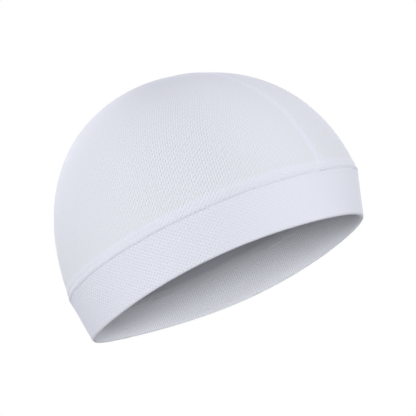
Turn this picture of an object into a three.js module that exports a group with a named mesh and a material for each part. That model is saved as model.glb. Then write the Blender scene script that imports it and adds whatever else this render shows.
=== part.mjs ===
// Cycling skull cap: a thin, unlined cap of white knitted mesh, in the shape it has on a head.
//
// Two curved panels meet in one seam that runs over the middle of the head from front to back.
// A doubled strip of the same cloth, folded along its lower edge, is sewn round them as the band.
// Millimetres. +Z up, -Y the wearer's front, +X the wearer's left.
// The origin is the middle of the head opening, and the folded lower edge lies at height 0.

import * as THREE from "three";
import { mergeVertices } from "three/addons/utils/BufferGeometryUtils.js";

// Outside outline of the cap, seen from above, at the two levels that shape it.
// A squareness of 2 is a plain ellipse, and more is fuller at the corners.
const LEVELS = {
  rim: { height: 0, halfWidth: 78.8, front: 95.6, back: 93.6, squareness: 2 },
  seam: { height: 26, halfWidth: 81.8, front: 102.4, back: 93.8, squareness: 2.15 },
};

// The band seam lies a little higher over the ears than in front, and lowest behind.
const SEAM_RISE = { inFront: 1, overEars: 1.5 };

// The crown above the band seam. Fullness is how far the cloth stands outside a plain
// ellipse half way up, as a share of the distance from the middle of the seam.
const CROWN_RISE = 100.8;
const CROWN_LEAN = -1.3;
const FULLNESS = { front: -0.012, side: 0.06, back: 0.022 };

const CROWN_CLOTH = 1.2;
const BAND_CLOTH = 2.2;
const SEWN_GAP = 0.3;
const EDGE_ROLL = 0.5;

const ALLOWANCE = { width: 6, thickness: 1.4, aboveSeam: 0.6 };
const CENTRE_STRIP = { width: 5, thickness: 1.1, fromMiddle: 0.6, clearOfBand: 4 };

const STEPS_AROUND = 72;
const STEPS_UP_CROWN = 20;
const STEPS_ALONG_STRIP = 44;
const STEPS_ROUND_HEM = 3;

const CLOTH_COLOUR = 0xdfe1e8;
const CLOTH_ROUGHNESS = 0.9;

const quarterTurn = Math.PI / 2;
const mix = (from, to, share) => from + (to - from) * share;

/** Outline of the cap at a height up to the seam, moved in by inset on every side. */
function outlineAt(height, inset) {
  const { rim, seam } = LEVELS;
  const share = height / seam.height;
  return {
    halfWidth: mix(rim.halfWidth, seam.halfWidth, share) - inset,
    front: mix(rim.front, seam.front, share) - inset,
    back: mix(rim.back, seam.back, share) - inset,
    squareness: mix(rim.squareness, seam.squareness, share),
  };
}

/** Point of an outline at an angle, which is 0 in front and a quarter turn at the wearer's left. */
function onOutline(outline, angle) {
  const sine = Math.sin(angle);
  const cosine = Math.cos(angle);
  const power = outline.squareness;
  const reach = (Math.abs(sine) ** power + Math.abs(cosine) ** power) ** (-1 / power);
  const length = cosine > 0 ? outline.front : outline.back;
  return { x: outline.halfWidth * sine * reach, y: -length * cosine * reach };
}

/** How much higher than its usual height the band seam lies at an angle. */
function seamRiseAt(angle) {
  return SEAM_RISE.inFront * Math.cos(angle) - SEAM_RISE.overEars * Math.cos(2 * angle);
}

/** Point of the band's wall, whose height stretches with the height of the seam. */
function bandPoint(angle, height, inset) {
  const { x, y } = onOutline(outlineAt(height, inset), angle);
  const share = height / LEVELS.seam.height;
  return new THREE.Vector3(x, y, height + share * seamRiseAt(angle));
}

/** Point of the crown's wall. Upward runs from 0 at the band seam to a quarter turn at the top. */
function crownPoint(angle, upward, inset) {
  const { x, y } = onOutline(outlineAt(LEVELS.seam.height, inset), angle);
  const toFront = Math.cos(angle);
  const full = FULLNESS.side
    + toFront * (FULLNESS.front - FULLNESS.back) / 2
    + toFront ** 2 * ((FULLNESS.front + FULLNESS.back) / 2 - FULLNESS.side);
  const swell = 1 + full * Math.sin(2 * upward) ** 2;
  const across = Math.cos(upward) * swell;
  const rise = (CROWN_RISE - inset) * Math.sin(upward) * swell;
  return new THREE.Vector3(
    x * across,
    y * across + CROWN_LEAN * rise / CROWN_RISE,
    LEVELS.seam.height + SEWN_GAP / 2 + rise + seamRiseAt(angle) * Math.cos(upward),
  );
}

/** Point of the crown's wall met by a line that leaves the seam's middle, given by two turns:
 *  along the middle seam from front to back, and aside towards the wearer's left. */
function crownPointBeside(along, aside, inset) {
  const across = Math.sin(aside);
  const towardsFront = Math.cos(aside) * Math.cos(along);
  const upward = Math.asin(Math.cos(aside) * Math.sin(along));
  return crownPoint(Math.atan2(across, towardsFront), upward, inset);
}

/** Closed solid through a row of sections. A section lists the points of the outer side
 *  and then those of the inner side backwards. Sections either close in a ring or are capped. */
function wallThrough(sections, closesInRing) {
  const size = sections[0].length;
  const corners = sections.flat();
  const faces = [];
  const addQuad = (a, b, c, d) => faces.push([a, b, c], [a, c, d]);
  const spans = closesInRing ? sections.length : sections.length - 1;
  for (let span = 0; span < spans; span += 1) {
    const here = span * size;
    const next = ((span + 1) % sections.length) * size;
    for (let i = 0; i < size; i += 1) {
      const j = (i + 1) % size;
      addQuad(here + i, next + i, next + j, here + j);
    }
  }
  if (!closesInRing) {
    const last = (sections.length - 1) * size;
    for (let i = 0; i < size / 2 - 1; i += 1) {
      const opposite = size - 1 - i;
      addQuad(i, i + 1, opposite - 1, opposite);
      addQuad(last + opposite, last + opposite - 1, last + i + 1, last + i);
    }
  }
  return closedGeometry(corners, faces);
}

/** Geometry of a closed solid, with equal corners merged and faces without area left out. */
function closedGeometry(corners, faces) {
  const loose = new THREE.BufferGeometry().setFromPoints(corners);
  loose.setIndex(faces.flat());
  const merged = mergeVertices(loose);
  const index = merged.getIndex().array;
  const kept = [];
  for (let i = 0; i < index.length; i += 3) {
    const [a, b, c] = index.slice(i, i + 3);
    if (a !== b && b !== c && c !== a) kept.push(a, b, c);
  }
  merged.setIndex(kept);
  merged.computeVertexNormals();
  return merged;
}

/** One crown panel: half of the dome, between the middle seam in front and behind.
 *  Side is 1 for the wearer's left and -1 for the right. */
function crownPanel(side) {
  const halfGap = new THREE.Vector3(side * SEWN_GAP / 2, 0, 0);
  const rollEnd = EDGE_ROLL / CROWN_RISE;
  const turns = [0, rollEnd];
  for (let step = 1; step <= STEPS_UP_CROWN; step += 1) {
    turns.push(quarterTurn * step / STEPS_UP_CROWN);
  }
  const sections = [];
  for (let step = 0; step <= STEPS_AROUND / 2; step += 1) {
    const angle = 2 * Math.PI * step / STEPS_AROUND;
    const turned = side > 0 ? angle : angle - Math.PI;
    const outer = turns.map((turn) => crownPoint(turned, turn, turn === 0 ? EDGE_ROLL : 0));
    const inner = turns.map((turn) => crownPoint(turned, turn, CROWN_CLOTH));
    sections.push([...outer, ...inner.reverse()].map((point) => onOwnSide(point, side).add(halfGap)));
  }
  return wallThrough(sections, false);
}

/** The same point, with a rounding error across the middle seam taken out. */
function onOwnSide(point, side) {
  if (point.x * side < 1e-9) point.x = 0;
  return point;
}

/** The doubled band: a straight wall with a round fold below and a rolled edge at the seam. */
function headBand() {
  const fold = BAND_CLOTH / 2;
  const top = LEVELS.seam.height - SEWN_GAP / 2;
  const outer = [];
  for (let step = 0; step <= STEPS_ROUND_HEM; step += 1) {
    const turn = quarterTurn * step / STEPS_ROUND_HEM;
    outer.push([fold - fold * Math.cos(turn), fold - fold * Math.sin(turn)]);
  }
  outer.push([top / 2, 0], [top - EDGE_ROLL, 0], [top, EDGE_ROLL]);
  const inner = outer.slice(1).map(([height, inset]) => [height, BAND_CLOTH - inset]);
  return ringThrough([...outer, ...inner.reverse()]);
}

/** The overlocked edge of the band seam, which hangs inside against the band. */
function bandSeamAllowance() {
  const near = BAND_CLOTH + SEWN_GAP;
  const far = near + ALLOWANCE.thickness;
  const round = ALLOWANCE.thickness / 3;
  const top = LEVELS.seam.height + ALLOWANCE.aboveSeam;
  const bottom = top - ALLOWANCE.width;
  return ringThrough([
    [bottom, near + round], [bottom + round, near], [top, near],
    [top, far - round], [top - round, far], [bottom + round, far], [bottom, far - round],
  ]);
}

/** Ring round the head with one profile, given as rows of height and inset. */
function ringThrough(profile) {
  const sections = [];
  for (let step = 0; step < STEPS_AROUND; step += 1) {
    const angle = 2 * Math.PI * step / STEPS_AROUND;
    sections.push(profile.map(([height, inset]) => bandPoint(angle, height, inset)));
  }
  return wallThrough(sections, true);
}

/** The overlocked edge of the middle seam, laid to the wearer's right inside the crown. */
function centreSeamAllowance() {
  const near = CROWN_CLOTH + SEWN_GAP;
  const far = near + CENTRE_STRIP.thickness;
  const start = -CENTRE_STRIP.fromMiddle / LEVELS.seam.halfWidth;
  const end = -(CENTRE_STRIP.fromMiddle + CENTRE_STRIP.width) / LEVELS.seam.halfWidth;
  const lift = CENTRE_STRIP.clearOfBand / CROWN_RISE;
  const sections = [];
  for (let step = 0; step <= STEPS_ALONG_STRIP; step += 1) {
    const along = mix(lift, Math.PI - lift, step / STEPS_ALONG_STRIP);
    const sides = [[start, near], [end, near], [end, far], [start, far]];
    sections.push(sides.map(([aside, inset]) => crownPointBeside(along, aside, inset)));
  }
  return wallThrough(sections, false);
}

/** Adds one named piece of cloth to the cap. */
function addPiece(name, geometry) {
  const cloth = new THREE.MeshStandardMaterial({
    color: CLOTH_COLOUR,
    roughness: CLOTH_ROUGHNESS,
    metalness: 0,
  });
  const piece = new THREE.Mesh(geometry, cloth);
  piece.name = name;
  group.add(piece);
}

const group = new THREE.Group();
addPiece("crown_panel_left", crownPanel(1));
addPiece("crown_panel_right", crownPanel(-1));
addPiece("centre_seam_allowance", centreSeamAllowance());
addPiece("head_band", headBand());
addPiece("band_seam_allowance", bandSeamAllowance());

export default group;
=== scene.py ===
"""Cycling skull cap of white knitted mesh, in the shape it has on a head.

Metres. +Z is up, -Y is the wearer's front and +X the wearer's left. A turn is an angle round the
head: 0 in front, a quarter turn at the wearer's left ear and a half turn behind.
"""

import bpy
import numpy as np
from mathutils import Matrix, Vector


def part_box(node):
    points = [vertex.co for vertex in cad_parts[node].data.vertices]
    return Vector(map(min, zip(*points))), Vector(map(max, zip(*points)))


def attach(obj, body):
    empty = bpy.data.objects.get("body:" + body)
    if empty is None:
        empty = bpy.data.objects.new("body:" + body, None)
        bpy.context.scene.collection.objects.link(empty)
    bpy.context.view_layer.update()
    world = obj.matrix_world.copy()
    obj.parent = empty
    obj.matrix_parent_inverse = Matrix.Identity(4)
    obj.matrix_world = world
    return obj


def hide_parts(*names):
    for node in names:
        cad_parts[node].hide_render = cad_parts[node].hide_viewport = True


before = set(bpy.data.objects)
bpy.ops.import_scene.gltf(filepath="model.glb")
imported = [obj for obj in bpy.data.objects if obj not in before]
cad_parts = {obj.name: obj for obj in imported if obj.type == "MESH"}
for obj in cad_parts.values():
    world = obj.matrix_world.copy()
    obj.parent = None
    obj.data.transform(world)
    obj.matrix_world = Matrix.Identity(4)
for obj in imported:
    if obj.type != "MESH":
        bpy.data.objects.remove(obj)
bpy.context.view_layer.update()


# Camera: it stands in front of the cap, to the wearer's right and a little below the band, and looks
# up into the opening. It is rolled, so that the band climbs to the right of the picture.

MM = 0.001
VIEW_AZIMUTH = np.radians(-48.5)
VIEW_ELEVATION = np.radians(-12.25)
VIEW_ROLL = np.radians(22.75)
VIEW_DISTANCE = 1239 * MM
CAP_MIDDLE = Vector((0, 0, 55 * MM))
LOOKS_RIGHT_OF_MIDDLE = 9.9 * MM
LOOKS_BELOW_MIDDLE = 5.9 * MM
PICTURE_PIXELS = 416
PIXELS_PER_MM = 1.671
SENSOR_WIDTH_MM = 36
NEAREST_SEEN = 0.05
FARTHEST_SEEN = 200


def direction(azimuth, elevation):
    """Unit vector (sin a cos e, -cos a cos e, sin e), so azimuth 0 is in front and elevation 0 level."""
    flat = np.cos(elevation)
    return Vector((np.sin(azimuth) * flat, -np.cos(azimuth) * flat, np.sin(elevation)))


def add_camera():
    """Camera whose right and up axes are the level ones, turned by the roll about the line of sight."""
    towards = direction(VIEW_AZIMUTH, VIEW_ELEVATION)
    level_right = Vector((np.cos(VIEW_AZIMUTH), np.sin(VIEW_AZIMUTH), 0))
    level_up = towards.cross(level_right)
    right = level_right * np.cos(VIEW_ROLL) - level_up * np.sin(VIEW_ROLL)
    up = level_right * np.sin(VIEW_ROLL) + level_up * np.cos(VIEW_ROLL)
    place = CAP_MIDDLE + towards * VIEW_DISTANCE
    target = CAP_MIDDLE + right * LOOKS_RIGHT_OF_MIDDLE - up * LOOKS_BELOW_MIDDLE
    back = (place - target).normalized()
    right = (right - back * right.dot(back)).normalized()
    up = back.cross(right)
    camera = bpy.data.objects.new("camera", bpy.data.cameras.new("camera"))
    camera.matrix_world = Matrix.Translation(place) @ Matrix((right, up, back)).transposed().to_4x4()
    camera.data.sensor_width = SENSOR_WIDTH_MM
    focal_pixels = PIXELS_PER_MM * VIEW_DISTANCE / MM
    camera.data.lens = focal_pixels * SENSOR_WIDTH_MM / PICTURE_PIXELS
    camera.data.clip_start = NEAREST_SEEN
    camera.data.clip_end = FARTHEST_SEEN
    bpy.context.scene.collection.objects.link(camera)
    bpy.context.scene.camera = camera


add_camera()


# Crown: two panels of thin, stretchy mesh, cut from one layer of cloth and sewn together over the
# middle of the head. They fill out on the head, more at the sides than in front and behind.
# The lower edge is turned in at the band seam, and both seams raise a soft ridge beside them.

band_low, band_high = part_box("head_band")
SEAM_HEIGHT = 26 * MM
SEAM_OUTLINE = {"half_width": band_high.x, "front": -band_low.y, "back": band_high.y, "squareness": 2.15}
SEAM_HIGHER_IN_FRONT = 1 * MM
SEAM_HIGHER_OVER_EARS = 1.5 * MM
CROWN_RISE = 100.8 * MM
CROWN_LEAN = -1.3 * MM
FULLNESS = {"front": -0.012, "side": 0.06, "back": 0.022}
CROWN_CLOTH = 1.0 * MM
HALF_SEWN_GAP = 0.09 * MM

SEAM_VALLEY = {"depth": 0.6 * MM, "half_width": 0.4 * MM, "usual": 0.75, "less_in_front": 0.1}
ROLLED_RIDGE = {"height": 0.5 * MM, "from_seam": 1.7 * MM, "half_width": 0.85 * MM}
PRESSED_DIP = {"depth": 0.2 * MM, "from_seam": 3.1 * MM, "half_width": 0.7 * MM}
BACKED_STRIP = {"height": 0.22 * MM, "from_seam": 5.0 * MM, "half_width": 1.5 * MM}
BACKED_REACH = {"width": 6.2 * MM, "edge": 0.4 * MM}
MIDDLE_VALLEY = {"depth": 0.35 * MM, "half_width": 0.4 * MM, "begins": 2 * MM, "softness": 0.7 * MM}
MIDDLE_STRIP = {"height": 0.4 * MM, "width": 4.6 * MM, "edge": 0.5 * MM}
UNEVEN_EDGE = {"share": 0.08, "length": 3.3 * MM, "drift": 7 * MM}
PUCKER = {"height": 0.07 * MM, "length": 4.6 * MM, "drift": 11 * MM, "fade": 3 * MM}
STRETCH = {"turn": np.radians(57), "upward": np.radians(15), "reach": np.radians(26), "least": 0.2}
STEPS_BACK_OVER_HEAD = {"length": 290 * MM, "fine": 0.5 * MM, "coarse": 1.05 * MM, "fine_reach": 8 * MM}
STEPS_UP_PANEL = {"length": 135 * MM, "fine": 0.27 * MM, "coarse": 1.4 * MM, "fine_reach": 6 * MM}
STEP_CHANGE = {"middle": 1.3, "softness": 0.35}
STATIONS_TRIED = 4001
CLOTH_MAP_RADIUS = 97 * MM
LEAST_SPREAD = 1e-9
CORNER_CLEARANCE = 0.002


def on_outline(outline, turn, inset):
    """Superellipse x = a sin t r, y = -b cos t r, with r so that |sin t|^n + |cos t|^n = 1 on it."""
    sine, cosine = np.sin(turn), np.cos(turn)
    power = outline["squareness"]
    reach = (np.abs(sine) ** power + np.abs(cosine) ** power) ** (-1 / power)
    length = np.where(cosine > 0, outline["front"], outline["back"]) - inset
    return (outline["half_width"] - inset) * sine * reach, -length * cosine * reach


def seam_wave(turn):
    """How much higher than its usual height the band seam lies: tilt cos t - ears cos 2t."""
    return SEAM_HIGHER_IN_FRONT * np.cos(turn) - SEAM_HIGHER_OVER_EARS * np.cos(2 * turn)


def crown_point(turn, upward, inset):
    """Ellipsoid over the seam outline, swollen by 1 + fullness sin^2 2u half way up its wall. The
    fullness is a quadratic in cos t, through its values in front, at the sides and behind."""
    x, y = on_outline(SEAM_OUTLINE, turn, inset)
    forward = np.cos(turn)
    level = (FULLNESS["front"] + FULLNESS["back"]) / 2
    full = (
        FULLNESS["side"]
        + forward * (FULLNESS["front"] - FULLNESS["back"]) / 2
        + forward**2 * (level - FULLNESS["side"])
    )
    swell = 1 + full * np.sin(2 * upward) ** 2
    across = np.cos(upward) * swell
    rise = (CROWN_RISE - inset) * np.sin(upward) * swell
    z = SEAM_HEIGHT + rise + seam_wave(turn) * np.cos(upward)
    return np.stack([x * across, y * across + CROWN_LEAN * rise / CROWN_RISE, z], axis=-1)


def ridge(distance, size):
    """Bell curve exp(-((d - middle) / half width)^2)."""
    return np.exp(-(((distance - size.get("from_seam", 0)) / size["half_width"]) ** 2))


def soft_step(value, edge, softness):
    """Smooth step 1/2 + 1/2 tanh((v - edge) / softness), from 0 well below the edge to 1 well above."""
    return 0.5 + 0.5 * np.tanh((value - edge) / softness)


def uneven_wave(along, size):
    """Wave whose beat drifts: sin(2 pi s / length + 2 sin(s / drift))."""
    return np.sin(2 * np.pi * along / size["length"] + 2 * np.sin(along / size["drift"]))


def spaced(length, fine, coarse, fine_reach, both_ends):
    """Stations from 0 to 1 along a length, with fine steps near its start, or near both its ends, and
    coarse ones beyond. The step grows from fine to coarse by a soft step of the way from the end."""
    stations = np.linspace(0, length, STATIONS_TRIED)
    from_end = np.minimum(stations, length - stations) if both_ends else stations
    change = soft_step(from_end, fine_reach * STEP_CHANGE["middle"], fine_reach * STEP_CHANGE["softness"])
    step = fine + (coarse - fine) * change
    count = np.concatenate([[0], np.cumsum((stations[1] - stations[0]) / step[1:])])
    places = np.linspace(0, count[-1], int(round(count[-1])) + 1)
    return np.interp(places, count, stations) / length


def seam_valley(turn, distance):
    """Crease of the band seam, as deep as d (usual - less cos t), so a little less over the forehead."""
    share = SEAM_VALLEY["usual"] - SEAM_VALLEY["less_in_front"] * np.cos(turn)
    return SEAM_VALLEY["depth"] * share * ridge(distance, SEAM_VALLEY)


def within_width(distance, width, edge, along):
    """1 nearer than a width and 0 beyond, where the width is uneven by a wave of the way along."""
    wave = uneven_wave(along, UNEVEN_EDGE)
    return 1 - soft_step(distance, width * (1 + UNEVEN_EDGE["share"] * wave), edge)


def crown_seams(turn, upward, side):
    """Height of the outer face over the plain dome, and 1 where a seam's turned-in cloth lies behind.
    The height is a sum of bell curves beside the two seams, and of puckers that fade as exp(-s / fade)
    with the way s above the band seam. Only the wearer's right panel has the middle seam's strip."""
    plain = crown_point(turn, upward, 0.0)
    above_seam = plain[..., 2] - SEAM_HEIGHT - seam_wave(turn) * np.cos(upward)
    from_middle = np.abs(plain[..., 0])
    round_head = np.hypot(plain[..., 0], plain[..., 1]) * turn
    over_head = np.arctan2(above_seam, -plain[..., 1]) * CROWN_RISE
    middle_begins = soft_step(above_seam, MIDDLE_VALLEY["begins"], MIDDLE_VALLEY["softness"])
    relief = (
        ROLLED_RIDGE["height"] * ridge(above_seam, ROLLED_RIDGE)
        - PRESSED_DIP["depth"] * ridge(above_seam, PRESSED_DIP)
        + BACKED_STRIP["height"] * ridge(above_seam, BACKED_STRIP)
        - seam_valley(turn, above_seam)
        - MIDDLE_VALLEY["depth"] * ridge(from_middle, MIDDLE_VALLEY) * middle_begins
        + PUCKER["height"] * uneven_wave(round_head, PUCKER) * np.exp(-above_seam / PUCKER["fade"])
    )
    backing = within_width(above_seam, BACKED_REACH["width"], BACKED_REACH["edge"], round_head)
    if side < 0:
        strip = within_width(from_middle, MIDDLE_STRIP["width"], MIDDLE_STRIP["edge"], over_head)
        relief = relief + MIDDLE_STRIP["height"] * strip
        backing = np.maximum(backing, strip)
    return relief, backing


def crown_stretch(turn, upward):
    """How far the mesh is pulled open: a bell curve round each temple, over the least value elsewhere."""
    aside = (np.abs(turn) - STRETCH["turn"]) * np.cos(upward)
    away = np.hypot(aside, upward - STRETCH["upward"]) / STRETCH["reach"]
    return STRETCH["least"] + (1 - STRETCH["least"]) * np.exp(-(away**2))


def sewn_mesh(name, sections, cloth_map, backing, stretch, in_ring):
    """Closed mesh through a row of closed sections: quads from each section to the next, and where
    the row doesn't close in a ring, its two ends are filled by quads across the section."""
    rows, size = sections.shape[:2]
    spans = rows if in_ring else rows - 1
    here, point = np.meshgrid(np.arange(spans), np.arange(size), indexing="ij")
    after, beside = here + 1, (point + 1) % size
    round_quad = ((here, point), (after, point), (after, beside), (here, beside))
    quads = np.stack([row % rows * size + column for row, column in round_quad], -1).reshape(-1, 4)
    corners = np.stack([cloth_map[row, column] for row, column in round_quad], axis=2).reshape(-1, 4, 2)
    if not in_ring:
        first = np.arange(size // 2 - 1)
        start_cap = np.stack([first, first + 1, size - 2 - first, size - 1 - first], -1)
        end_cap = (rows - 1) * size + start_cap[:, ::-1]
        flat_map = cloth_map.reshape(-1, 2)
        quads = np.concatenate([quads, start_cap, end_cap])
        corners = np.concatenate([corners, flat_map[start_cap], flat_map[end_cap]])
    mesh = bpy.data.meshes.new(name)
    mesh.vertices.add(rows * size)
    mesh.vertices.foreach_set("co", sections.reshape(-1).astype(np.float32))
    mesh.loops.add(quads.size)
    mesh.loops.foreach_set("vertex_index", quads.reshape(-1).astype(np.int32))
    mesh.polygons.add(len(quads))
    mesh.polygons.foreach_set("loop_start", np.arange(0, quads.size, 4, dtype=np.int32))
    mesh.update(calc_edges=True)
    mesh.polygons.foreach_set("use_smooth", np.ones(len(quads), dtype=bool))
    mesh.uv_layers.new(name="cloth").data.foreach_set("uv", corners.reshape(-1).astype(np.float32))
    for label, values in (("backing", backing), ("stretch", stretch)):
        layer = mesh.attributes.new(label, "FLOAT", "POINT")
        layer.data.foreach_set("value", np.broadcast_to(values, (rows, size)).reshape(-1).astype(np.float32))
    mesh.validate()
    piece = bpy.data.objects.new(name, mesh)
    bpy.context.scene.collection.objects.link(piece)
    return piece


def crown_panel(name, side):
    """Half of the dome on a grid of two turns: back over the head, and up from the band seam to the
    middle seam. The panel's corners, where the two seams meet, are where the first turn begins and
    ends. The cloth map is a disc round the ear, of radius 2 R sin(angle from the ear / 2)."""
    backward = np.pi * spaced(**STEPS_BACK_OVER_HEAD, both_ends=True)
    backward = CORNER_CLEARANCE + backward * (np.pi - 2 * CORNER_CLEARANCE) / np.pi
    raised = np.pi / 2 * spaced(**STEPS_UP_PANEL, both_ends=True)
    theta, psi = np.meshgrid(backward, raised, indexing="ij")
    leftward, forward, up = np.sin(theta) * np.cos(psi), np.cos(theta), np.sin(theta) * np.sin(psi)
    turn, upward = np.arctan2(leftward, forward), np.arcsin(np.clip(up, 0, 1))
    relief, backing = crown_seams(turn, upward, side)
    stretch = crown_stretch(turn, upward)
    outer = crown_point(turn, upward, -relief)
    inner = crown_point(turn, upward, CROWN_CLOTH - np.minimum(relief, 0))
    sections = np.concatenate([outer, inner[:, ::-1]], axis=1)
    sections[..., 0] = (sections[..., 0] + HALF_SEWN_GAP) * side
    from_ear = np.arccos(np.clip(leftward, -1, 1))
    reach = 2 * np.sin(from_ear / 2) * CLOTH_MAP_RADIUS
    spread = np.maximum(np.hypot(forward, up), LEAST_SPREAD)
    cloth_map = np.stack([side * reach * forward / spread, reach * up / spread], -1)
    faces = [np.concatenate([grid, grid[:, ::-1]], axis=1) for grid in (cloth_map, backing, stretch)]
    grids = [sections, *faces]
    if side < 0:
        grids = [grid[::-1] for grid in grids]
    return sewn_mesh(name, *grids, in_ring=False)


# The crown's cloth is a white warp knit, whose small openings lie in a staggered lattice between
# upright columns of loops. One layer lets some of the shade behind it show. A second layer whitens
# it, partly for real and partly as painted light. Where the cloth isn't stretched, the openings are nearly
# closed.
CROWN_KNIT = {"across": 2.74 * MM, "up": 2.74 * MM, "columns": 0.57, "rising": 0.37, "falling": 0.05}
WALE = 0.45 * MM
COURSE = 0.6 * MM
LOOP_BEND = 0.12 * MM
LOOP_RELIEF = 0.1
OPENING_RELIEF = -0.5
PATCHES = {"scale": 90, "gain": 2.0, "least": -0.1}
FUZZ = {"scale": 1000, "gain": 3.0, "least": -1.5}
USUAL_DARKENING = 0.5
OPENING_DARKENING = 0.55
# Lightening where a second layer lies behind: partly the hidden see-through shade, partly painted light.
DARKENING_HIDDEN_AND_PAINTED_LIGHT = -0.22
CLOTH_FINISH = {"Roughness": 0.85, "Specular IOR Level": 0.2, "Sheen Weight": 0.08, "Sheen Roughness": 0.5}
RELIEF_DEPTH = 0.3 * MM
CROWN_WHITE = (0.89, 0.898, 0.904, 1)
CROWN_BACKED = (0.882, 0.884, 0.932, 1)
CROWN_SHADE = (0.65, 0.656, 0.665, 1)
CROWN_BUMP = 0.5


def math_node(tree, operation, first, second=0.0, third=0.0):
    """Math node of one operation, whose inputs are numbers or other nodes' outputs."""
    node = tree.nodes.new("ShaderNodeMath")
    node.operation = operation
    for socket, value in zip(node.inputs, (first, second, third)):
        if isinstance(value, bpy.types.NodeSocket):
            tree.links.new(value, socket)
        else:
            socket.default_value = value
    return node.outputs[0]


def knitted_mesh_group():
    """Openings lie where three waves of the cloth position meet: c cos 4 pi u/P, along the columns,
    and r cos 2 pi (u/P + v/V) and f cos 2 pi (u/P - v/V), along the two diagonals. The pattern is
    openings times patches plus fuzz, all times the stretch. Darkening is its usual value plus a share
    of the pattern, less by a share of the backing. That lightening is partly the hidden see-through shade
    and partly painted light. Height is loops less openings, times the stretch."""
    tree = bpy.data.node_groups.new("knitted mesh", "ShaderNodeTree")
    face = tree.interface
    face.new_socket("Cloth Position", in_out="INPUT", socket_type="NodeSocketVector")
    for label in ("Across", "Up", "Columns", "Rising", "Falling", "Backing", "Stretch"):
        face.new_socket(label, in_out="INPUT", socket_type="NodeSocketFloat")
    for label in ("Darkening", "Height"):
        face.new_socket(label, in_out="OUTPUT", socket_type="NodeSocketFloat")
    given = tree.nodes.new("NodeGroupInput").outputs
    out = tree.nodes.new("NodeGroupOutput")
    split = tree.nodes.new("ShaderNodeSeparateXYZ")
    tree.links.new(given["Cloth Position"], split.inputs[0])
    across, up = split.outputs[0], split.outputs[1]

    def wave(turns):
        """cos 2 pi t, for a number of turns t."""
        return math_node(tree, "COSINE", math_node(tree, "MULTIPLY", turns, 2 * np.pi))

    def noise(grain):
        """Gain times a noise of so many grains a metre of cloth, plus the least value."""
        node = tree.nodes.new("ShaderNodeTexNoise")
        node.inputs["Scale"].default_value = grain["scale"]
        tree.links.new(given["Cloth Position"], node.inputs["Vector"])
        return math_node(tree, "MULTIPLY_ADD", node.outputs["Fac"], grain["gain"], grain["least"])

    columns = math_node(tree, "DIVIDE", across, given["Across"])
    courses = math_node(tree, "DIVIDE", up, given["Up"])
    openings = math_node(tree, "MULTIPLY", wave(math_node(tree, "MULTIPLY", columns, 2)), given["Columns"])
    rising = wave(math_node(tree, "ADD", columns, courses))
    openings = math_node(tree, "MULTIPLY_ADD", rising, given["Rising"], openings)
    falling = wave(math_node(tree, "SUBTRACT", columns, courses))
    openings = math_node(tree, "MULTIPLY_ADD", falling, given["Falling"], openings)
    pattern = math_node(tree, "MULTIPLY_ADD", openings, noise(PATCHES), noise(FUZZ))
    pattern = math_node(tree, "MULTIPLY", pattern, given["Stretch"])
    darkening = math_node(tree, "MULTIPLY_ADD", pattern, OPENING_DARKENING, USUAL_DARKENING)
    # Where backing lies behind, the darkening is cut: partly the hidden see-through shade, partly painted
    # light.
    seen_through_less_painted_light = math_node(tree, "MULTIPLY_ADD", given["Backing"], DARKENING_HIDDEN_AND_PAINTED_LIGHT, 1.0)
    darkening = math_node(tree, "MULTIPLY", darkening, seen_through_less_painted_light)
    wales = wave(math_node(tree, "DIVIDE", across, WALE))
    bent = math_node(tree, "MULTIPLY_ADD", wales, LOOP_BEND, up)
    loops = math_node(tree, "ADD", wales, wave(math_node(tree, "DIVIDE", bent, COURSE)))
    sunk = math_node(tree, "MULTIPLY", openings, OPENING_RELIEF)
    height = math_node(tree, "MULTIPLY_ADD", loops, LOOP_RELIEF, sunk)
    tree.links.new(darkening, out.inputs["Darkening"])
    tree.links.new(math_node(tree, "MULTIPLY", height, given["Stretch"]), out.inputs["Height"])
    return tree


knitted_mesh = knitted_mesh_group()


def mixed_colour(tree, first, second, share):
    """Colour that passes from the first to the second as the share goes from 0 to 1."""
    node = tree.nodes.new("ShaderNodeMix")
    node.data_type = "RGBA"
    for label, value in (("A", first), ("B", second), ("Factor", share)):
        socket = next(socket for socket in node.inputs if socket.name == label and socket.enabled)
        if isinstance(value, bpy.types.NodeSocket):
            tree.links.new(value, socket)
        else:
            socket.default_value = value
    return node.outputs["Result"]


def mesh_cloth(name, knit, white, backed_white, shade, bump_strength):
    """Colour is the white, or the backed white where backing is 1, mixed with the shade by the
    knit's darkening, and the knit's height tilts the surface."""
    material = bpy.data.materials.new(name)
    material.use_nodes = True
    tree = material.node_tree
    shader = tree.nodes["Principled BSDF"]
    for label, value in CLOTH_FINISH.items():
        shader.inputs[label].default_value = value
    knitted = tree.nodes.new("ShaderNodeGroup")
    knitted.node_tree = knitted_mesh
    for label, value in knit.items():
        knitted.inputs[label.capitalize()].default_value = value
    place = tree.nodes.new("ShaderNodeUVMap")
    place.uv_map = "cloth"
    tree.links.new(place.outputs["UV"], knitted.inputs["Cloth Position"])
    backing = tree.nodes.new("ShaderNodeAttribute")
    backing.attribute_name = "backing"
    tree.links.new(backing.outputs["Fac"], knitted.inputs["Backing"])
    stretch = tree.nodes.new("ShaderNodeAttribute")
    stretch.attribute_name = "stretch"
    tree.links.new(stretch.outputs["Fac"], knitted.inputs["Stretch"])
    whole = mixed_colour(tree, white, backed_white, backing.outputs["Fac"])
    colour = mixed_colour(tree, whole, shade, knitted.outputs["Darkening"])
    tree.links.new(colour, shader.inputs["Base Color"])
    bump = tree.nodes.new("ShaderNodeBump")
    bump.inputs["Strength"].default_value = bump_strength
    bump.inputs["Distance"].default_value = RELIEF_DEPTH
    tree.links.new(knitted.outputs["Height"], bump.inputs["Height"])
    tree.links.new(bump.outputs["Normal"], shader.inputs["Normal"])
    return material


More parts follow.
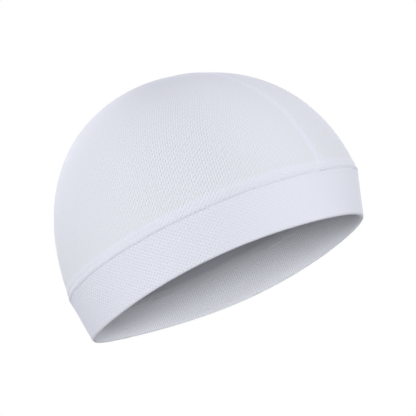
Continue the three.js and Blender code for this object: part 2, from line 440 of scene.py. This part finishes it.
crown_mesh = mesh_cloth("crown_mesh", CROWN_KNIT, CROWN_WHITE, CROWN_BACKED, CROWN_SHADE, CROWN_BUMP)
for panel_name, side in (("left", 1), ("right", -1)):
    panel = crown_panel(f"crown_cloth_{panel_name}", side)
    panel.data.materials.append(crown_mesh)
    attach(panel, "root")
    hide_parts(f"crown_panel_{panel_name}")


# Head band: a straight strip of the same mesh, folded double along its lower edge, so that the
# wearer feels a soft round fold. Its ends are joined behind, and its open edges meet the crown.
# It lies smooth over the forehead, where it is whiter: partly its smooth doubled cloth, partly painted
# light.

RIM_OUTLINE = {
    "half_width": 0.9645 * SEAM_OUTLINE["half_width"],
    "front": 0.9345 * SEAM_OUTLINE["front"],
    "back": 0.9985 * SEAM_OUTLINE["back"],
    "squareness": 2.0,
}
RIM_WAVE = {"twice": 0.65 * MM, "thrice": -1.2 * MM, "leftward": 0.2 * MM}
BAND_CLOTH = 2.2 * MM
BAND_ROWS = 460
ROWS_CLOSER_BEHIND = 0.6 / BAND_ROWS
FOLD_POINTS = 8
BAND_STEPS = {"fine": 0.35 * MM, "coarse": 0.9 * MM, "fine_reach": 4 * MM}
BAND_RIDGE = {"height": 0.12 * MM, "from_seam": 1.3 * MM, "half_width": 0.7 * MM}
BAND_JOIN = {"depth": 0.7 * MM, "half_width": 0.6 * MM}
JOIN_STRIP = {"height": 0.35 * MM, "width": 5 * MM, "edge": 0.6 * MM}
BAND_KNIT = {"across": 3.05 * MM, "up": 2.15 * MM, "columns": 0.3, "rising": 0.33, "falling": 0.36}
BAND_BACK = {"across": 3.05 * MM, "up": 2.15 * MM, "columns": 0.6, "rising": 0.15, "falling": 0.1}
SMOOTH_FOREHEAD = {"turn": np.radians(46), "softness": np.radians(14), "least": 0.25}
# The band is whiter over the forehead than past it: partly its smooth doubled cloth, partly painted light.
FOLDED_BACKING_PAST_PAINTED_FOREHEAD = 0.6
BAND_WHITE = (0.785, 0.791, 0.827, 1)
BAND_BACKED_AND_PAINTED_LIGHT = (0.895, 0.902, 0.938, 1)
BAND_SHADE = (0.66, 0.666, 0.7, 1)
BAND_BUMP = 0.3
# The inner face's white is lighter than the outer face's: painted light on the same cloth.
BAND_WHITE_INSIDE_PAINTED_LIGHTER = (0.885, 0.888, 0.91, 1)
BAND_SHADE_INSIDE = (0.655, 0.66, 0.68, 1)
BAND_BUMP_INSIDE = 0.35


def band_point(turn, height, inset):
    """Wall from the rim's outline up to the seam's, mixed by height, and its waves mixed likewise."""
    share = height / SEAM_HEIGHT
    x0, y0 = on_outline(RIM_OUTLINE, turn, inset)
    x1, y1 = on_outline(SEAM_OUTLINE, turn, inset)
    rim_wave = (
        RIM_WAVE["twice"] * np.cos(2 * turn)
        + RIM_WAVE["thrice"] * np.cos(3 * turn)
        + RIM_WAVE["leftward"] * np.sin(turn)
    )
    z = height + share * seam_wave(turn) + (1 - share) * rim_wave
    return np.stack([x0 + (x1 - x0) * share, y0 + (y1 - y0) * share, z], -1)


def walked_round(turn):
    """Way along the band seam up to each turn and once round, as a running sum of the chords."""
    ring_turn = np.append(turn, turn[0] + 2 * np.pi)
    ring = band_point(ring_turn, np.full(ring_turn.shape, SEAM_HEIGHT), 0.0)
    return np.concatenate([[0], np.cumsum(np.linalg.norm(np.diff(ring, axis=0), axis=1))])


def band_profile():
    """Rows of height and inset: round the fold and up the outer face, and down the inner face again."""
    fold = BAND_CLOTH / 2
    top = SEAM_HEIGHT - HALF_SEWN_GAP
    curl_turn = np.linspace(0, np.pi / 2, FOLD_POINTS)
    curl = np.stack([fold - fold * np.cos(curl_turn), fold - fold * np.sin(curl_turn)], -1)
    wall = fold + (top - fold) * (1 - spaced(top - fold, **BAND_STEPS, both_ends=False)[::-1])
    outer = np.concatenate([curl[:-1], np.stack([wall, np.zeros_like(wall)], -1)])
    inner = outer[1:].copy()
    inner[:, 1] = BAND_CLOTH - inner[:, 1]
    return np.concatenate([outer, inner[::-1]]), len(outer)


def head_band():
    """Ring of band profiles, whose outer face has bell curves for the crease at the seam, the ridge
    under it and the join behind, and a step where the join's cloth lies beneath."""
    profile, outer_count = band_profile()
    on_outer_face = np.arange(len(profile)) < outer_count
    turn = 2 * np.pi * np.arange(BAND_ROWS) / BAND_ROWS - np.pi
    turn = turn + ROWS_CLOSER_BEHIND * np.sin(turn)
    angle, height = np.meshgrid(turn, profile[:, 0], indexing="ij")
    leftward = on_outline(SEAM_OUTLINE, angle, 0.0)[0]
    from_join = np.where(np.cos(angle) < 0, np.abs(leftward), np.inf)
    join_strip = (1 - soft_step(from_join, JOIN_STRIP["width"], JOIN_STRIP["edge"])) * (leftward < 0)
    below_seam = SEAM_HEIGHT - height
    relief = (
        BAND_RIDGE["height"] * ridge(below_seam, BAND_RIDGE)
        - seam_valley(angle, below_seam)
        - BAND_JOIN["depth"] * ridge(from_join, BAND_JOIN)
        + JOIN_STRIP["height"] * join_strip
    )
    sections = band_point(angle, height, profile[:, 1] - relief * on_outer_face)
    cloth_map = np.stack(np.meshgrid(-walked_round(turn), profile[:, 0], indexing="ij"), -1)
    past_forehead = soft_step(np.abs(angle), SMOOTH_FOREHEAD["turn"], SMOOTH_FOREHEAD["softness"])
    stretch = SMOOTH_FOREHEAD["least"] + (1 - SMOOTH_FOREHEAD["least"]) * past_forehead
    # Backing is 1 over the forehead and the folded share past it, so the forehead is whiter: partly the
    # smooth doubled cloth, partly painted light.
    backing = 1 - (1 - FOLDED_BACKING_PAST_PAINTED_FOREHEAD) * past_forehead
    ring = sewn_mesh("band_cloth", sections, cloth_map, backing, stretch, in_ring=True)
    on_inner_face = np.tile(np.arange(len(profile)) >= outer_count - 1, BAND_ROWS)
    ring.data.polygons.foreach_set("material_index", on_inner_face.astype(np.int32))
    return ring


band = head_band()
band_mesh = mesh_cloth("band_mesh", BAND_KNIT, BAND_WHITE, BAND_BACKED_AND_PAINTED_LIGHT, BAND_SHADE, BAND_BUMP)
# The inner face has the knit's back, which is real, and a lighter white than the outer face, which is
# painted light.
band_mesh_inside_painted_lighter = mesh_cloth(
    "band_mesh_inside_painted_lighter", BAND_BACK, BAND_WHITE_INSIDE_PAINTED_LIGHTER, BAND_WHITE_INSIDE_PAINTED_LIGHTER, BAND_SHADE_INSIDE, BAND_BUMP_INSIDE
)
band.data.materials.append(band_mesh)
band.data.materials.append(band_mesh_inside_painted_lighter)
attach(band, "root")
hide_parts("head_band")


# Band seam edge: inside the cap the crown's and the band's edges are trimmed to about 6 mm and bound
# with overlock thread. They are pressed down against the band and hang free along their lower edge.

SEAM_EDGE = {"width": 5.9 * MM, "thickness": 1.3 * MM, "above_seam": 0.4 * MM}
SEAM_EDGE_INSET = 2.5 * MM
SEAM_EDGE_SWAY = {"reach": 0.25 * MM, "short_waves": 23, "long_waves": 9, "up": 0.5}
EDGE_ROWS = 460
SEAM_EDGE_POINTS = 28
EDGE_ROUNDING = {"width": 0.5, "thickness": 0.6}
EDGE_WHITE = (0.83, 0.836, 0.85, 1)
EDGE_SHADE = (0.74, 0.746, 0.76, 1)
EDGE_BUMP = 0.4


def squared_off(wave, power):
    """The wave's sign times its size to a power under 1, which squares off a round section."""
    return np.sign(wave) * np.abs(wave) ** power


def edge_sway(turn):
    """How far the free edge sways in and out: r (sin st + sin(lt + 1)), with s short and l long waves."""
    short = np.sin(SEAM_EDGE_SWAY["short_waves"] * turn)
    long = np.sin(SEAM_EDGE_SWAY["long_waves"] * turn + 1)
    return SEAM_EDGE_SWAY["reach"] * (short + long)


def band_seam_edge():
    """Ring of squared-off sections, which sway more and more from the seam down to the free edge."""
    turn = 2 * np.pi * np.arange(EDGE_ROWS) / EDGE_ROWS - np.pi
    around = np.linspace(0, 2 * np.pi, SEAM_EDGE_POINTS, endpoint=False)
    middle = SEAM_HEIGHT + SEAM_EDGE["above_seam"] - SEAM_EDGE["width"] / 2
    height = middle + SEAM_EDGE["width"] / 2 * squared_off(np.sin(around), EDGE_ROUNDING["width"])
    inward = 1 - squared_off(np.cos(around), EDGE_ROUNDING["thickness"])
    depth = SEAM_EDGE_INSET + SEAM_EDGE["thickness"] / 2 * inward
    cloth_map = np.stack(np.meshgrid(walked_round(turn), height, indexing="ij"), -1)
    angle, height = np.meshgrid(turn, height, indexing="ij")
    hanging = np.clip((SEAM_HEIGHT - height) / SEAM_EDGE["width"], 0, 1)
    sway = hanging * edge_sway(angle)
    sections = band_point(angle, height + sway * SEAM_EDGE_SWAY["up"], depth + np.abs(sway))
    return sewn_mesh("band_seam_edge", sections, cloth_map, 1.0, 1.0, in_ring=True)


edge_cloth = mesh_cloth("edge_mesh", BAND_KNIT, EDGE_WHITE, EDGE_WHITE, EDGE_SHADE, EDGE_BUMP)
seam_edge = band_seam_edge()
seam_edge.data.materials.append(edge_cloth)
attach(seam_edge, "root")
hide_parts("band_seam_allowance")


# Middle seam edge: the two panels' edges, trimmed to about 5 mm, overlocked together and laid flat
# to the wearer's right inside the crown. They show through the cloth as a lighter strip, which is
# partly painted light, and run down to the band seam at both ends.

MIDDLE_EDGE_INSET = 1.5 * MM
MIDDLE_EDGE_THICKNESS = 1.0 * MM
MIDDLE_EDGE_OVER = 0.6 * MM
MIDDLE_EDGE_WIDTH = 5.4 * MM
MIDDLE_EDGE_ROWS = 260
MIDDLE_EDGE_POINTS = 20
MIDDLE_EDGE_LIFT = 0.8 * MM


def beside_middle(backward, aside, inset):
    """Point of the crown met by going back over the head by one turn b and aside to the left by
    another a: sin upward = cos a sin b, and tan turn = tan a / cos b."""
    upward = np.arcsin(np.clip(np.cos(aside) * np.sin(backward), -1, 1))
    turn = np.arctan2(np.sin(aside), np.cos(aside) * np.cos(backward))
    return crown_point(turn, upward, inset)


def middle_seam_edge():
    """Row of squared-off sections from the front of the middle seam over the top to the back."""
    lift = MIDDLE_EDGE_LIFT / CROWN_RISE
    backward = np.linspace(lift, np.pi - lift, MIDDLE_EDGE_ROWS)
    around = np.linspace(0, 2 * np.pi, MIDDLE_EDGE_POINTS, endpoint=False) + np.pi / MIDDLE_EDGE_POINTS
    rightward = 1 + squared_off(np.cos(around), EDGE_ROUNDING["width"])
    inward = 1 + squared_off(np.sin(around), EDGE_ROUNDING["thickness"])
    aside = (MIDDLE_EDGE_OVER - MIDDLE_EDGE_WIDTH / 2 * rightward) / SEAM_OUTLINE["half_width"]
    depth = MIDDLE_EDGE_INSET + MIDDLE_EDGE_THICKNESS / 2 * inward
    along, aside = np.meshgrid(backward, aside, indexing="ij")
    sections = beside_middle(along, aside, np.broadcast_to(depth, along.shape))
    cloth_map = np.stack([aside * SEAM_OUTLINE["half_width"], along * CROWN_RISE], -1)
    return sewn_mesh("middle_seam_edge", sections, cloth_map, 1.0, 1.0, in_ring=False)


middle_edge = middle_seam_edge()
middle_edge.data.materials.append(edge_cloth)
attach(middle_edge, "root")
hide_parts("centre_seam_allowance")


# Overlock thread: fine textured polyester, which runs round both raw edges in narrow loops. The
# loops lie close together over each edge and keep the trimmed knit from laddering.

THREAD_RADIUS = 0.16 * MM
THREAD_SIDES = 5
LOOP_PITCH = 1.5 * MM
LOOP_WIDTH = 3.6 * MM
LOOP_ROUNDING = 0.8
LOOP_TURN_SHARPNESS = 2.5
POINTS_PER_LOOP = 12
BAND_LOOPS = {"way": 560 * MM, "past_edge": 0.1 * MM, "off_cloth": 0.12 * MM, "sway_up": 0.4, "sway_in": 0.8}
MIDDLE_LOOPS = {"way": 280 * MM, "past_edge": 0.1 * MM, "off_cloth": 0.1 * MM, "lift": 1.8 * MM}
THREAD_WHITE = (0.86, 0.868, 0.885, 1)
THREAD_FINISH = {"Roughness": 0.55, "Sheen Weight": 0.2}
PLY_SCALE = 2500
PLY_SHADE = 0.5
PLY_BUMP = 0.4
PLY_DEPTH = 0.05 * MM


def thread_material():
    """Thread whose plies are a fine noise in object space: it mixes in half the shade and bumps."""
    material = bpy.data.materials.new("overlock_thread")
    material.use_nodes = True
    tree = material.node_tree
    shader = tree.nodes["Principled BSDF"]
    for label, value in THREAD_FINISH.items():
        shader.inputs[label].default_value = value
    place = tree.nodes.new("ShaderNodeTexCoord")
    plies = tree.nodes.new("ShaderNodeTexNoise")
    plies.inputs["Scale"].default_value = PLY_SCALE
    tree.links.new(place.outputs["Object"], plies.inputs["Vector"])
    share = math_node(tree, "MULTIPLY", plies.outputs["Fac"], PLY_SHADE)
    tree.links.new(mixed_colour(tree, THREAD_WHITE, EDGE_SHADE, share), shader.inputs["Base Color"])
    bump = tree.nodes.new("ShaderNodeBump")
    bump.inputs["Strength"].default_value = PLY_BUMP
    bump.inputs["Distance"].default_value = PLY_DEPTH
    tree.links.new(plies.outputs["Fac"], bump.inputs["Height"])
    tree.links.new(bump.outputs["Normal"], shader.inputs["Normal"])
    return material


def thread_along(name, line, in_ring):
    """Tube of a few sides round a line of points: each ring stands square to the line's direction."""
    if in_ring:
        forward = np.roll(line, -1, axis=0) - np.roll(line, 1, axis=0)
    else:
        forward = np.gradient(line, axis=0)
    forward /= np.linalg.norm(forward, axis=1)[:, None]
    outward = line - np.array([0, 0, SEAM_HEIGHT / 2])
    beside = np.cross(forward, outward)
    beside /= np.linalg.norm(beside, axis=1)[:, None]
    other = np.cross(forward, beside)
    around = 2 * np.pi * np.arange(THREAD_SIDES) / THREAD_SIDES
    sections = (
        line[:, None]
        + THREAD_RADIUS * np.cos(around)[None, :, None] * beside[:, None]
        + THREAD_RADIUS * np.sin(around)[None, :, None] * other[:, None]
    )
    cloth_map = np.zeros((len(line) + 1, THREAD_SIDES, 2))
    return sewn_mesh(name, sections, cloth_map, 1.0, 1.0, in_ring=in_ring)


def loops_round_edge(way):
    """Along the way, the thread rises w (1/2 - 1/2 cos p)^r from the edge, on a face between -1 and 1
    that is tanh(s sin p), where the phase p gains a whole turn in each loop."""
    phase = 2 * np.pi * np.arange(int(way / LOOP_PITCH) * POINTS_PER_LOOP) / POINTS_PER_LOOP
    from_edge = LOOP_WIDTH * (0.5 - 0.5 * np.cos(phase)) ** LOOP_ROUNDING
    face = np.tanh(LOOP_TURN_SHARPNESS * np.sin(phase))
    share = np.arange(len(phase)) / len(phase)
    return share, from_edge, face


def band_seam_thread():
    """Thread loops round the lower edge of the band seam's turned-in cloth, which sway with it."""
    share, from_edge, face = loops_round_edge(BAND_LOOPS["way"])
    turn = 2 * np.pi * share - np.pi
    bottom = SEAM_HEIGHT + SEAM_EDGE["above_seam"] - SEAM_EDGE["width"] - BAND_LOOPS["past_edge"]
    half = SEAM_EDGE["thickness"] / 2 + BAND_LOOPS["off_cloth"]
    depth = SEAM_EDGE_INSET + SEAM_EDGE["thickness"] / 2 + half * face
    sway = edge_sway(turn)
    height = bottom + from_edge + sway * BAND_LOOPS["sway_up"]
    line = band_point(turn, height, depth + np.abs(sway) * BAND_LOOPS["sway_in"])
    return thread_along("band_seam_thread", line, in_ring=True)


def middle_seam_thread():
    """Thread loops round the free edge of the middle seam's turned-in cloth."""
    share, from_edge, face = loops_round_edge(MIDDLE_LOOPS["way"])
    lift = MIDDLE_LOOPS["lift"] / CROWN_RISE
    backward = lift + (np.pi - 2 * lift) * share
    free_edge = MIDDLE_EDGE_OVER - MIDDLE_EDGE_WIDTH - MIDDLE_LOOPS["past_edge"]
    aside = (free_edge + from_edge) / SEAM_OUTLINE["half_width"]
    half = MIDDLE_EDGE_THICKNESS / 2 + MIDDLE_LOOPS["off_cloth"]
    depth = MIDDLE_EDGE_INSET + MIDDLE_EDGE_THICKNESS / 2 + half * face
    return thread_along("middle_seam_thread", beside_middle(backward, aside, depth), in_ring=False)


thread_finish = thread_material()
for thread in (band_seam_thread(), middle_seam_thread()):
    thread.data.materials.append(thread_finish)
    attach(thread, "root")


# Studio: a wide, pale floor far below the cap, a soft white surround, and long low lights in front
# and at both sides, which shine in under the near band. Two more lights reach the back.

FLOOR_HEIGHT = -3
FLOOR_HALF_WIDTH = 60
FLOOR_PALE = (0.93, 0.93, 0.93, 1)
FLOOR_PALER = (0.95, 0.95, 0.95, 1)
FLOOR_GLOW = 0.3
FLOOR_ROUGHNESS = 0.9
MOTTLE_SCALE = 2
SURROUND_BY_ELEVATION = (
    (-90, 0.42), (-40, 0.35), (-30, 0.05), (-12, 0.2), (5, 0.05), (17, 0.1),
    (24, 0.36), (50, 0.36), (60, 0.8), (75, 1.7), (90, 2.8),
)
HIGH_LIGHT_FROM = 20
LOW_LIGHT = (0.945, 0.96, 1.015)
HIGH_LIGHT = (0.90, 0.905, 1.03)
LIGHT_DISTANCE = 2.5
LIGHT_WIDTH = 1.4
SOFT_LIGHTS = (
    {"name": "front_light", "beside_camera": 0, "elevation": -7.8, "height": 0.35, "radiance": 23.5},
    {"name": "left_light", "beside_camera": -80, "elevation": -2, "height": 0.175, "radiance": 28},
    {"name": "left_fill", "beside_camera": -45, "elevation": -7, "height": 0.35, "radiance": 2.7},
    {"name": "right_light", "beside_camera": 80, "elevation": -3, "height": 0.175, "radiance": 26.5},
    {"name": "right_fill", "beside_camera": 80, "elevation": -10, "height": 0.175, "radiance": 8},
    {"name": "back_left_light", "beside_camera": -150, "elevation": 35, "height": 0.5, "radiance": 12},
    {"name": "back_right_light", "beside_camera": 150, "elevation": 12, "height": 0.5, "radiance": 10},
)


def pale_floor():
    """Square plane with a faint mottle, lit a little from within. It doesn't throw light into the cap."""
    corners = [(x * FLOOR_HALF_WIDTH, y * FLOOR_HALF_WIDTH, FLOOR_HEIGHT)
               for x, y in ((-1, -1), (1, -1), (1, 1), (-1, 1))]
    mesh = bpy.data.meshes.new("floor")
    mesh.from_pydata(corners, [], [(0, 1, 2, 3)])
    floor = bpy.data.objects.new("floor", mesh)
    floor.visible_diffuse = False
    floor.visible_shadow = False
    bpy.context.scene.collection.objects.link(floor)
    material = bpy.data.materials.new("floor_paint")
    material.use_nodes = True
    tree = material.node_tree
    shader = tree.nodes["Principled BSDF"]
    shader.inputs["Roughness"].default_value = FLOOR_ROUGHNESS
    shader.inputs["Emission Color"].default_value = (1, 1, 1, 1)
    shader.inputs["Emission Strength"].default_value = FLOOR_GLOW
    place = tree.nodes.new("ShaderNodeTexCoord")
    mottle = tree.nodes.new("ShaderNodeTexNoise")
    mottle.inputs["Scale"].default_value = MOTTLE_SCALE
    tree.links.new(place.outputs["Object"], mottle.inputs["Vector"])
    colour = mixed_colour(tree, FLOOR_PALE, FLOOR_PALER, mottle.outputs["Fac"])
    tree.links.new(colour, shader.inputs["Base Color"])
    mesh.materials.append(material)


def white_surround():
    """World that the camera sees as plain white. Its light is read from a ramp, at the place
    1/2 + 1/2 sin(elevation), so that it is brightest straight above."""
    world = bpy.data.worlds.new("surround")
    bpy.context.scene.world = world
    world.use_nodes = True
    tree = world.node_tree
    seen = tree.nodes["Background"]
    seen.inputs["Color"].default_value = (1, 1, 1, 1)
    brightest = max(strength for _, strength in SURROUND_BY_ELEVATION)
    way = tree.nodes.new("ShaderNodeTexCoord")
    split = tree.nodes.new("ShaderNodeSeparateXYZ")
    tree.links.new(way.outputs["Generated"], split.inputs[0])
    ramp = tree.nodes.new("ShaderNodeValToRGB")
    tree.links.new(math_node(tree, "MULTIPLY_ADD", split.outputs[2], 0.5, 0.5), ramp.inputs["Fac"])
    stops = ramp.color_ramp.elements
    while len(stops) < len(SURROUND_BY_ELEVATION):
        stops.new(0.5)
    for stop, (elevation, strength) in zip(stops, SURROUND_BY_ELEVATION):
        stop.position = 0.5 + 0.5 * np.sin(np.radians(elevation))
        tint = HIGH_LIGHT if elevation > HIGH_LIGHT_FROM else LOW_LIGHT
        stop.color = [channel * strength / brightest for channel in tint] + [1]
    lighting = tree.nodes.new("ShaderNodeBackground")
    lighting.inputs["Strength"].default_value = brightest
    tree.links.new(ramp.outputs["Color"], lighting.inputs["Color"])
    path = tree.nodes.new("ShaderNodeLightPath")
    mix = tree.nodes.new("ShaderNodeMixShader")
    tree.links.new(path.outputs["Is Camera Ray"], mix.inputs["Fac"])
    tree.links.new(lighting.outputs[0], mix.inputs[1])
    tree.links.new(seen.outputs[0], mix.inputs[2])
    tree.links.new(mix.outputs[0], tree.nodes["World Output"].inputs["Surface"])


def soft_light(name, beside_camera, elevation, height, radiance):
    """Area light that faces the cap, so many degrees round from the camera. Watts = pi area radiance."""
    lamp = bpy.data.lights.new(name, "AREA")
    lamp.shape = "RECTANGLE"
    lamp.size = LIGHT_WIDTH
    lamp.size_y = height
    lamp.energy = np.pi * LIGHT_WIDTH * height * radiance
    lamp.color = LOW_LIGHT
    towards = direction(VIEW_AZIMUTH + np.radians(beside_camera), np.radians(elevation))
    light = bpy.data.objects.new(name, lamp)
    light.location = CAP_MIDDLE + towards * LIGHT_DISTANCE
    light.rotation_euler = (-towards).to_track_quat("-Z", "Y").to_euler()
    light.visible_camera = False
    bpy.context.scene.collection.objects.link(light)


pale_floor()
white_surround()
for row in SOFT_LIGHTS:
    soft_light(**row)
bpy.context.scene.view_settings.view_transform = "Standard"
